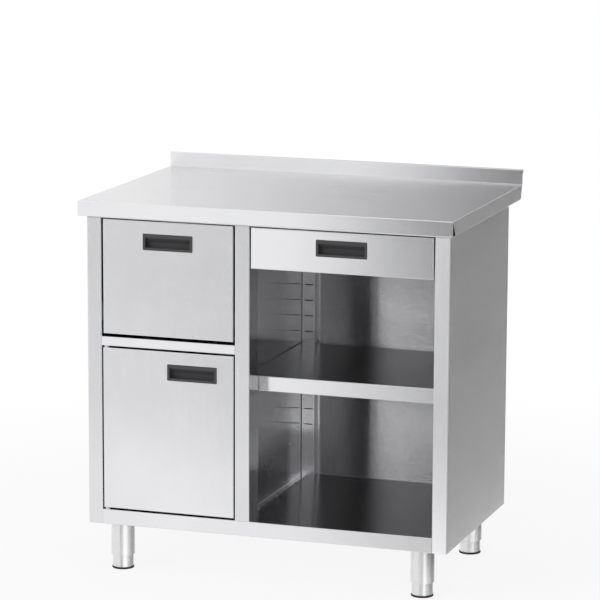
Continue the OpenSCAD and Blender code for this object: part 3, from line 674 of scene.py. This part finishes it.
@dataclass(frozen=True)
class Shape:
    """Points and four-sided faces, before they become an object. Sizes are in millimetres."""

    points: np.ndarray
    faces: np.ndarray

    @staticmethod
    def grid(rows: np.ndarray) -> Shape:
        """Skin a grid of points.

        Args:
            rows: Points as rows by columns by 3. Each row is a ring, joined to the next row.

        Returns:
            The skinned grid: point (i, j) is joined to (i + 1, j) and, round the ring, (i, j + 1).
        """
        count, steps = rows.shape[:2]
        i, j = np.meshgrid(np.arange(count - 1), np.arange(steps), indexing="ij")
        k = (j + 1) % steps
        corners = [i * steps + j, i * steps + k, (i + 1) * steps + k, (i + 1) * steps + j]
        return Shape(rows.reshape(-1, 3), np.stack(corners, axis=-1).reshape(-1, 4))

    @staticmethod
    def turned(profile: list[Pair], steps: int = 96) -> Shape:
        """Turn a profile round Z.

        Args:
            profile: Radius and height of each ring. The ends lie on the axis or on each other.
            steps: Number of points round.

        Returns:
            The surface whose point at angle a is (r cos a, r sin a, h).
        """
        angle = np.arange(steps) * 2 * np.pi / steps
        radius, height = np.array(profile, float).T[:, :, None]
        ring = [radius * np.cos(angle), radius * np.sin(angle), height + 0 * angle]
        return Shape.grid(np.stack(ring, axis=-1))

    @staticmethod
    def layered(outline: np.ndarray, layers: list[Pair]) -> Shape:
        """Stack copies of an outline.

        Args:
            outline: Points round a convex outline about the origin, n by 2.
            layers: Scale and height of each copy. The first and last have scale 0.

        Returns:
            The surface whose ring i is the outline times its scale, at its height.
        """
        scale, height = np.array(layers, float).T[:, :, None]
        x, y = outline.T
        return Shape.grid(np.stack([scale * x, scale * y, height + 0 * x], axis=-1))

    @staticmethod
    def fillet(radius: float, start: Point, length: float, steps: int = 7) -> Shape:
        """A hollow fillet in the corner between a wall that faces +X and a floor.

        Args:
            radius: Its radius.
            start: The corner at its front end.
            length: How far it runs towards +Y.
            steps: Number of points on its curve.

        Returns:
            The bar whose section joins the corner to the points (r - r sin a, r - r cos a).
        """
        angle = np.linspace(0, np.pi / 2, steps)
        x = np.concatenate([[0], radius * (1 - np.sin(angle))])
        z = np.concatenate([[0], radius * (1 - np.cos(angle))])
        ends = np.array([0, 0, length, length])[:, None]
        share = np.array([0, 1, 1, 0])[:, None]
        rows = np.stack([share * x, ends + 0 * x, share * z], axis=-1)
        return Shape.grid(rows + np.array(start, float))

    def moved(self, places: np.ndarray | list[Point]) -> Shape:
        """Copy the shape.

        Args:
            places: How far each copy is moved, n by 3.

        Returns:
            All copies as one shape: point p of copy c lies at p + place c.
        """
        places = np.array(places, float)
        points = (self.points[None] + places[:, None]).reshape(-1, 3)
        offsets = np.arange(len(places))[:, None, None] * len(self.points)
        return Shape(points, (self.faces[None] + offsets).reshape(-1, 4))

    def facing(self, axis: Point) -> Shape:
        """Turn the shape.

        Args:
            axis: A level axis of the object, along which its +Z then points.

        Returns:
            The turned shape: x, y and z times unit vectors at right angles, the last the axis.
        """
        towards = np.array(axis, float)
        across = np.cross([0.0, 0, 1], towards)
        turn = np.stack([across, np.cross(towards, across), towards])
        return Shape(self.points @ turn, self.faces)

    def __add__(self, other: Shape) -> Shape:
        """Both shapes as one."""
        points = np.concatenate([self.points, other.points])
        return Shape(points, np.concatenate([self.faces, other.faces + len(self.points)]))


def linked(name: str, data: bpy.types.ID) -> bpy.types.Object:
    """Make an object and link it to the scene.

    Args:
        name: Its name.
        data: Its mesh, light or camera.

    Returns:
        The new object.
    """
    made = bpy.data.objects.new(name, data)
    bpy.context.scene.collection.objects.link(made)
    return made


@dataclass
class Piece:
    """A new piece: its shape in millimetres, what it rides on and how it is finished."""

    name: str
    shape: Shape
    body: str
    finish: Finish
    slot: str
    replaces: tuple[str, ...] = ()
    smooth_angle: float = 40.0
    weld: float = 2e-6
    sliver: float = 1e-6

    def make(self) -> None:
        """Build the mesh with its place in it, close it, dress it and tie it to its body."""
        data = bpy.data.meshes.new(self.name)
        work = bmesh.new()
        raw = bpy.data.meshes.new(self.name + "_raw")
        raw.from_pydata((self.shape.points * MM).tolist(), [], self.shape.faces.tolist())
        work.from_mesh(raw)
        bmesh.ops.remove_doubles(work, verts=work.verts, dist=self.weld)
        bmesh.ops.dissolve_degenerate(work, edges=work.edges, dist=self.sliver)
        bmesh.ops.recalc_face_normals(work, faces=work.faces)
        work.to_mesh(data)
        work.free()
        bpy.data.meshes.remove(raw)
        data.polygons.foreach_set("use_smooth", np.ones(len(data.polygons), bool))
        data.set_sharp_from_angle(angle=math.radians(self.smooth_angle))
        data.materials.append(self.finish.material())
        made = linked(self.name, data)
        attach(made, self.body)
        if self.replaces:
            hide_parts(*self.replaces)
        LOG.info("%s on %s: %d faces", self.name, self.body, len(data.polygons))


def polygon(sides: int, across: float) -> np.ndarray:
    """Corners of a regular polygon, n by 2.

    Args:
        sides: How many sides it has.
        across: Its width across its flats.

    Returns:
        The points (r cos a, r sin a), half a step off the X axis.
    """
    angle = (np.arange(sides) + 0.5) * 2 * np.pi / sides
    radius = across / 2 / math.cos(math.pi / sides)
    return np.stack([radius * np.cos(angle), radius * np.sin(angle)], axis=1)


def rounded_square(side: float, radius: float, steps: int = 6) -> np.ndarray:
    """Outline of a square with rounded corners, n by 2.

    Args:
        side: The length of its sides.
        radius: The radius of its corners.
        steps: Number of points in each corner.

    Returns:
        Four quarter turns of the radius, each about the centre of its corner.
    """
    angle = np.linspace(0, np.pi / 2, steps)[None] + np.arange(4)[:, None] * np.pi / 2
    middle = (side / 2 - radius) * np.sqrt(2)
    corner = np.arange(4)[:, None] * np.pi / 2 + np.pi / 4
    x = middle * np.cos(corner) + radius * np.cos(angle)
    y = middle * np.sin(corner) + radius * np.sin(angle)
    return np.stack([x.ravel(), y.ravel()], axis=1)


@dataclass
class Legs:
    """Four adjustable legs: tube and plate, sliding foot with its spindle, and plastic pad."""

    x: float = 418
    y: Pair = (-268.5, 189.5)
    top: float = 128
    tube: float = 31.5
    step: float = 37
    lower_rim: tuple[Pair, ...] = ((0, 2.2), (0.4, 0.9), (1.3, 0.1), (2.2, 0))
    bore_edge: float = 0.4
    foot: float = 28
    foot_edge: float = 0.6
    slack: float = 0.3
    pad: float = 29.5
    pad_top: float = 5
    pad_rim: tuple[Pair, ...] = ((1, 0), (0.3, 0.3), (0, 1))
    pad_edge: tuple[Pair, ...] = ((0, 1.2), (0.3, 0.4), (0.9, 0))
    plate: float = 72
    plate_corner: float = 4
    plate_thick: float = 3
    plate_edge: float = 0.4
    plate_face: float = 0.99
    nut: Pair = (104, 112)
    sleeve_top: float = 92
    sleeve_cap: float = 3
    sleeve_edge: float = 0.8
    wall: float = 2
    spindle: float = 6
    spindle_top: float = 150
    spindle_tip: float = 1.6
    spindle_slack: float = 0.05
    pitch: float = 1.75
    thread: float = 0.9
    thread_gap: float = 2
    bolt_place: float = 28.5
    bolt_across: float = 10
    bolt_head: tuple[Pair, ...] = ((0, -4.8), (0.86, -4.8), (1, -4.3), (1, -0.8), (0, -0.8))
    washer: tuple[Pair, ...] = ((0, -0.9), (5.9, -0.9), (6, -0.8), (6, 0.1), (0, 0.1))
    washer_steps: int = 32

    def tube_shape(self) -> Shape:
        """Build the tube with its nut plate, and the plate on top.

        Returns:
            A turned profile with a rolled lower rim, a square plate and four bolt heads.
        """
        inner, bore = self.foot + self.slack, self.spindle + self.spindle_slack
        low, high = self.nut
        rim = [(self.tube - inset, self.step + rise) for inset, rise in self.lower_rim]
        ring = [(self.tube, self.top), *rim, (inner, self.step + self.bore_edge), (inner, low),
                (bore, low), (bore, high), (inner, high), (inner, self.top), (self.tube, self.top)]
        thick, edge, face = self.top + self.plate_thick, self.plate_edge, self.plate_face
        plate = Shape.layered(rounded_square(self.plate, self.plate_corner),
                              [(0, self.top), (face, self.top), (1, self.top + edge),
                               (1, thick - edge), (face, thick), (0, thick)])
        return Shape.turned(ring) + plate + self.bolt_shape()

    def bolt_shape(self) -> Shape:
        """Build the bolts.

        Returns:
            Four hexagon heads with washers, under the plate's corners.
        """
        head = Shape.layered(polygon(6, self.bolt_across), self.bolt_head)
        washer = Shape.turned(self.washer, self.washer_steps)
        signs = np.array([[-1, -1], [-1, 1], [1, -1], [1, 1]], float)
        places = np.column_stack([signs * self.bolt_place, np.full(4, self.top)])
        return (head + washer).moved(places)

    def foot_shape(self) -> Shape:
        """Build the sliding foot.

        Returns:
            A turned sleeve, closed on top, and its spindle, with rings of the pitch as its thread.
        """
        cap = self.sleeve_top - self.sleeve_cap
        bore, root = self.foot - self.wall, self.spindle - self.thread
        turns = np.arange(self.sleeve_top + self.thread_gap, self.spindle_top - self.thread_gap,
                          self.pitch / 2)
        crest = np.where(np.arange(len(turns)) % 2 == 0, root, self.spindle)
        return Shape.turned([
            (0, cap), (bore, cap), (bore, self.pad_top), (self.foot - self.foot_edge, self.pad_top),
            (self.foot, self.pad_top + self.foot_edge),
            (self.foot, self.sleeve_top - self.sleeve_edge),
            (self.foot - self.sleeve_edge, self.sleeve_top), (root, self.sleeve_top),
            *zip(crest, turns), (self.spindle - self.spindle_tip, self.spindle_top),
            (0, self.spindle_top)])

    def pad_shape(self) -> Shape:
        """Build the pad.

        Returns:
            A turned disc with rounded rims.
        """
        rim = [(self.pad - inset, rise) for inset, rise in self.pad_rim]
        edge = [(self.pad - inset, self.pad_top - drop) for inset, drop in self.pad_edge]
        return Shape.turned([(0, 0), *rim, *edge, (0, self.pad_top)])

    def make(self) -> None:
        """Make the pieces of all four legs."""
        for row, y in zip(("front", "rear"), self.y):
            for side, x in (("left", -self.x), ("right", self.x)):
                place, key = [(x, y, 0)], f"{row}_{side}"
                body = f"foot_{key}"
                Piece(f"leg_tube_{key}", self.tube_shape().moved(place), "cabinet", TUBE_STEEL,
                      "tube_steel", (f"leg_{key}",)).make()
                Piece(f"foot_sleeve_{key}", self.foot_shape().moved(place), body, TUBE_STEEL,
                      "tube_steel", (f"foot_{key}",)).make()
                Piece(f"foot_pad_{key}", self.pad_shape().moved(place), body, PAD_PLASTIC,
                      "pad_plastic", (f"pad_{key}",)).make()


@dataclass(frozen=True)
class Rivets:
    """Equal rivets or spot welds on the cabinet, made as one piece."""

    name: str
    radius: float
    height: float
    places: list[Point]
    axis: Point | None = None
    finish: Finish = RIVET_METAL
    slot: str = "tube_steel"
    sunk: float = 0.2
    rim: float = 0.15
    dimple: tuple[Pair, ...] = ((0.24, 0.97), (0.2, 0.7), (0, 0.68))
    rings: int = 7
    steps: int = 20

    def head(self) -> Shape:
        """Build one head, which faces up.

        Returns:
            A low dome whose section is a quarter of an ellipse, with the dimple of its stem on top.
        """
        sweep = np.linspace(0, np.pi / 2, self.rings)
        section = [(math.cos(a), self.rim + (1 - self.rim) * math.sin(a)) for a in sweep[:-1]]
        curve = [(self.radius * x, self.height * z) for x, z in (*section, *self.dimple)]
        return Shape.turned([(0, -self.sunk), (self.radius, -self.sunk), *curve], self.steps)

    def make(self) -> None:
        """Turn the head to its axis and copy it to its places."""
        head = self.head().facing(self.axis) if self.axis else self.head()
        Piece(self.name, head.moved(self.places), "cabinet", self.finish, self.slot).make()


@dataclass
class Dressed:
    """A sub-assembly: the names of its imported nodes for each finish."""

    finishes: Finishes = field(default_factory=dict)

    def make(self) -> None:
        """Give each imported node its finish, in all its material slots."""
        for finish, names in self.finishes.items():
            for name in names:
                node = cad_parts[name]
                if not node.material_slots:
                    node.data.materials.append(None)
                for place in node.material_slots:
                    place.material = finish.material()
                LOG.info("%s is finished in %s", name, finish.name)


@dataclass
class Body(Dressed):
    """The folded body: the finishes of its sheets, its rivets and the fillet in a fold."""

    finishes: Finishes = field(default_factory=lambda: {
        WORKTOP_STEEL: ("worktop",),
        INNER_STEEL: ("worktop_stiffeners", "base_channels", "runner_spacer_grounds",
                      "runner_spacer_utensil_left", "runner_spacer_utensil_right"),
        PANEL_STEEL: ("side_panel_left",),
        SHADED_FLANK_STEEL: ("side_panel_right",),
        WALL_STEEL: ("partition",),
        BACK_STEEL: ("back_panel",),
        SLOTTED_STEEL: ("upright_left", "upright_right"),
        SHELF_STEEL: ("bottom_panel", "shelf"),
        RAIL_STEEL: ("mid_rail", "top_rail_left", "top_rail_right"),
        ZINC: ("shelf_clips",),
        NYLON: ("door_bushes",),
        MAGNET_CASE: ("catch_magnet",),
    })
    flange_rivet_x: float = -66
    flange_rivets: tuple[float, ...] = (-179, -29, 129)
    flange_z: float = 169.2
    upright_face: float = 225
    upright_x: Pair = (-57.8, 470.8)
    upright_rivets: tuple[float, ...] = (249, 596.8)
    rear_flange_x: float = 485.5
    rear_rivets: tuple[float, ...] = (150, 310, 470, 630, 790, 925)
    back_y: float = 253
    wall_x: float = -81.8
    wall_rivets: tuple[Pair, ...] = ((126, 617), (125, 277))
    return_x: float = -41.8
    return_welds: tuple[Pair, ...] = ((241, 577), (241, 229), (241, 191))
    fold: float = 1.2
    post_y: float = -244
    upright_y: float = 224

    def rivets(self) -> list[Rivets]:
        """Place the rivets and spot welds.

        Returns:
            Each row with its radius, height, places and axis, in the order of making.
        """
        flange = [(self.flange_rivet_x, y, self.flange_z) for y in self.flange_rivets]
        face = [(x, self.upright_face, z) for x in self.upright_x for z in self.upright_rivets]
        back = [(x, self.back_y, z) for x in (-self.rear_flange_x, self.rear_flange_x)
                for z in self.rear_rivets]
        wall = [(self.wall_x, y, z) for y, z in self.wall_rivets]
        welds = [(self.return_x, y, z) for y, z in self.return_welds]
        return [
            Rivets("flange_rivets", 3.2, 1.1, flange),
            Rivets("upright_rivets", 2.4, 0.8, face, (0, -1, 0), TUBE_STEEL),
            Rivets("rear_rivets", 4, 1.3, back, (0, 1, 0)),
            Rivets("wall_rivets", 2, 0.7, wall, (1, 0, 0)),
            Rivets("upright_welds", 2, 0.3, welds, (1, 0, 0), TUBE_STEEL, "inner_steel"),
        ]

    def make(self) -> None:
        """Dress the sheets and add the fastenings and the fillet in the partition's fold."""
        super().make()
        for row in self.rivets():
            row.make()
        start = (self.wall_x, self.post_y, self.flange_z)
        fold = Shape.fillet(self.fold, start, self.upright_y - self.post_y)
        Piece("flange_fold", fold, "cabinet", FOLD_STEEL, "panel_steel").make()


@dataclass
class Drawers(Dressed):
    """The two drawers and their telescopic runners."""

    finishes: Finishes = field(default_factory=lambda: {
        UPRIGHT_STEEL: ("grounds_front",),
        LEVEL_STEEL: ("utensil_front",),
        INNER_STEEL: ("grounds_box", "utensil_box"),
        HANDLE_PLASTIC: ("grounds_handle", "utensil_handle"),
        RUBBER: ("knock_sleeve",),
        TUBE_STEEL: ("knock_bar",),
        ZINC: tuple(f"{drawer}_runner_{member}_{side}" for drawer in ("grounds", "utensil")
                    for member in ("outer", "middle", "inner") for side in ("left", "right")),
    })


@dataclass
class Door(Dressed):
    """The hinged door with its pins and the catch's plate."""

    finishes: Finishes = field(default_factory=lambda: {
        UPRIGHT_STEEL: ("door_skin",),
        INNER_STEEL: ("door_liner",),
        HANDLE_PLASTIC: ("door_handle",),
        ZINC: ("door_pins", "catch_plate"),
    })


def panel(name: str, corners: list[Point]) -> bpy.types.Object:
    """Add a flat stage panel.

    Args:
        name: The panel's name.
        corners: Its four corners, in metres.

    Returns:
        The new object.
    """
    data = bpy.data.meshes.new(name)
    data.from_pydata(corners, [], [(0, 1, 2, 3)])
    made = linked(name, data)
    return made


@dataclass(frozen=True)
class Screen:
    """An upright backdrop in metres that only metal mirrors, in a grey that changes on an axis."""

    name: str
    x: Pair
    y: Pair
    z: Pair
    levels: Pair
    axis: Grain
    span: Pair

    def make(self) -> None:
        """Hang the screen from its first corner to its last and grade its grey over its span."""
        (left, right), (near, far), (low, high) = self.x, self.y, self.z
        made = panel(self.name, [(left, near, low), (right, far, low), (right, far, high),
                                 (left, near, high)])
        material = bpy.data.materials.new(self.name)
        graph = Graph(material)
        share = graph.split(graph.point())[self.axis.value].ramp(*self.span)
        start, end = (grey(level) for level in self.levels)
        inputs = {"Color": graph.mix(share, start, end), "Strength": 1.0}
        graph.output("Material", graph.node("ShaderNodeEmission", {}, inputs)["Emission"])
        made.data.materials.append(material)
        made.visible_camera = made.visible_diffuse = made.visible_shadow = False


@dataclass
class Studio:
    """Pale floor and world, soft lamps, screens that the steel mirrors, and the camera."""

    camera_place: Point = (2.683502, -7.990384, 2.281079)
    yaw: float = 18.63846828
    pitch: float = 10.57468662
    roll: float = -0.25640737
    lens: float = 191.8994
    sensor: float = 36.0
    camera_reach: float = 60.0
    world_light: float = 0.5
    floor_z: float = -0.0005
    floor_reach: float = 9.0
    floor_rim: float = 2.0
    floor_tone: float = 0.86
    floor_glow: float = 0.87
    floor_fade: Pair = (0.9, 2.4)
    front_fall: Pair = (0.3, 2.6)
    front_shade: float = 0.6
    light_line: float = 0.35
    light_edge: Pair = (0.1, 0.95)
    far_edge: Pair = (1.3, 2.0)
    far_light: float = 0.6
    side_fall: Pair = (0.55, 0.8)
    side_shade: float = 0.85
    screens: tuple[Screen, ...] = (
        Screen("screen_front", (-2.2, -0.9), (-6.5, -6.5), (0, 7), (1.0, 0.08), X, (-2.2, -1.2)),
        Screen("screen_front_right", (-0.9, 3), (-6.5, -6.5), (0, 7), (0.08, 0.6), X, (-0.9, 0.2)),
        Screen("screen_right", (0.8, 0.8), (-0.6, 7), (0, 4), (0.16, 0.12), Z, (0.0, 1.0)),
        Screen("screen_rear", (-1.9, 3), (2.5, 2.5), (1, 4), (0.95, 0.3), X, (-1.6, -0.4)))
    lamp_aim: Point = (0, 0, 0.5)
    lamps: tuple[tuple[str, Point, float, float], ...] = (
        ("key", (-2.6, -3.4, 3.4), 4.0, 75), ("top", (0.8, 0.6, 4.4), 3.5, 45))

    def camera(self) -> None:
        """Set the camera at the photograph's viewing angle."""
        yaw, pitch, roll = (math.radians(a) for a in (self.yaw, self.pitch, self.roll))
        ahead = np.array([-math.sin(yaw) * math.cos(pitch), math.cos(yaw) * math.cos(pitch),
                          -math.sin(pitch)])
        level = np.array([math.cos(yaw), math.sin(yaw), 0.0])
        down = np.cross(ahead, level)
        right = level * math.cos(roll) + down * math.sin(roll)
        below = -level * math.sin(roll) + down * math.cos(roll)
        turn = Matrix(np.column_stack([right, -below, -ahead]).tolist()).to_4x4()
        data = bpy.data.cameras.new("camera")
        data.lens, data.sensor_width, data.clip_end = self.lens, self.sensor, self.camera_reach
        made = linked("camera", data)
        made.matrix_world = Matrix.Translation(self.camera_place) @ turn
        bpy.context.scene.camera = made

    def lamp(self, name: str, place: Point, size: float, power: float) -> None:
        """Add a soft square lamp that faces the cabinet and that metal doesn't mirror.

        Args:
            name: The lamp's name.
            place: Its centre, in metres.
            size: The length of its sides.
            power: Its power in watts.
        """
        data = bpy.data.lights.new(name, "AREA")
        data.shape, data.size, data.energy = "SQUARE", size, power
        made = linked(name, data)
        towards = Vector(self.lamp_aim) - Vector(place)
        turn = towards.to_track_quat("-Z", "Y").to_matrix().to_4x4()
        made.matrix_world = Matrix.Translation(place) @ turn
        made.visible_glossy = False

    def floor(self) -> None:
        """A pale floor that fades into the world and keeps the cabinet's shadow.

        Metal mirrors it bright near the cabinet and darker far in front on the right and beside
        the right panel, as on a studio floor that one side lights.
        """
        reach, height = self.floor_reach, self.floor_z
        made = panel("floor", [(-reach, -reach, height), (reach, -reach, height),
                               (reach, reach, height), (-reach, reach, height)])
        material = bpy.data.materials.new("floor_paper")
        graph = Graph(material)
        camera, mirrored = graph.rays()
        x, y, _ = graph.split(graph.point())
        distance = graph.math("SQRT", x * x + y * y)
        edge = distance.ramp(reach - self.floor_rim, reach)
        right = x - y * self.light_line
        beyond = right.ramp(*self.light_edge)
        far = right.ramp(*self.far_edge) * self.far_light
        front = (y * -1).ramp(*self.front_fall) * beyond * (1 - far)
        dark = (front * self.front_shade).larger(x.ramp(*self.side_fall) * self.side_shade)
        paper = graph.node("ShaderNodeBsdfDiffuse", {}, {"Color": grey(self.floor_tone)})["BSDF"]
        tone = graph.mix(dark * mirrored, grey(1.0), grey(0.0))
        glow = graph.node("ShaderNodeEmission", {}, {"Color": tone})["Emission"]
        clear = graph.node("ShaderNodeBsdfTransparent", {}, {})["BSDF"]
        glow_share = distance.ramp(*self.floor_fade) * (1 - self.floor_glow) + self.floor_glow
        share = (camera * glow_share).larger(mirrored)
        lit = graph.node("ShaderNodeMixShader", {}, {0: share, 1: paper, 2: glow})["Shader"]
        faded = graph.node("ShaderNodeMixShader", {}, {0: edge, 1: lit, 2: clear})["Shader"]
        graph.output("Material", faded)
        made.data.materials.append(material)

    def world(self) -> None:
        """A white world to look at and a plainer one to light by."""
        world = bpy.data.worlds.new("studio")
        bpy.context.scene.world = world
        graph = Graph(world)
        camera, mirrored = graph.rays()
        strength = camera.larger(mirrored) * (1 - self.world_light) + self.world_light
        inputs = {"Color": grey(1.0), "Strength": strength}
        graph.output("World", graph.node("ShaderNodeBackground", {}, inputs)["Background"])

    def make(self) -> None:
        """Set the stage, the light and the colour management."""
        self.camera()
        self.world()
        self.floor()
        for screen in self.screens:
            screen.make()
        for lamp in self.lamps:
            self.lamp(*lamp)
        bpy.context.scene.view_settings.view_transform = "Standard"


def main() -> None:
    """Build the cabinet's looks in order and set the stage."""
    logging.basicConfig(level=logging.INFO, format="%(message)s")
    Body().make()
    Drawers().make()
    Door().make()
    Legs().make()
    Studio().make()


if __name__ == "__main__":
    main()
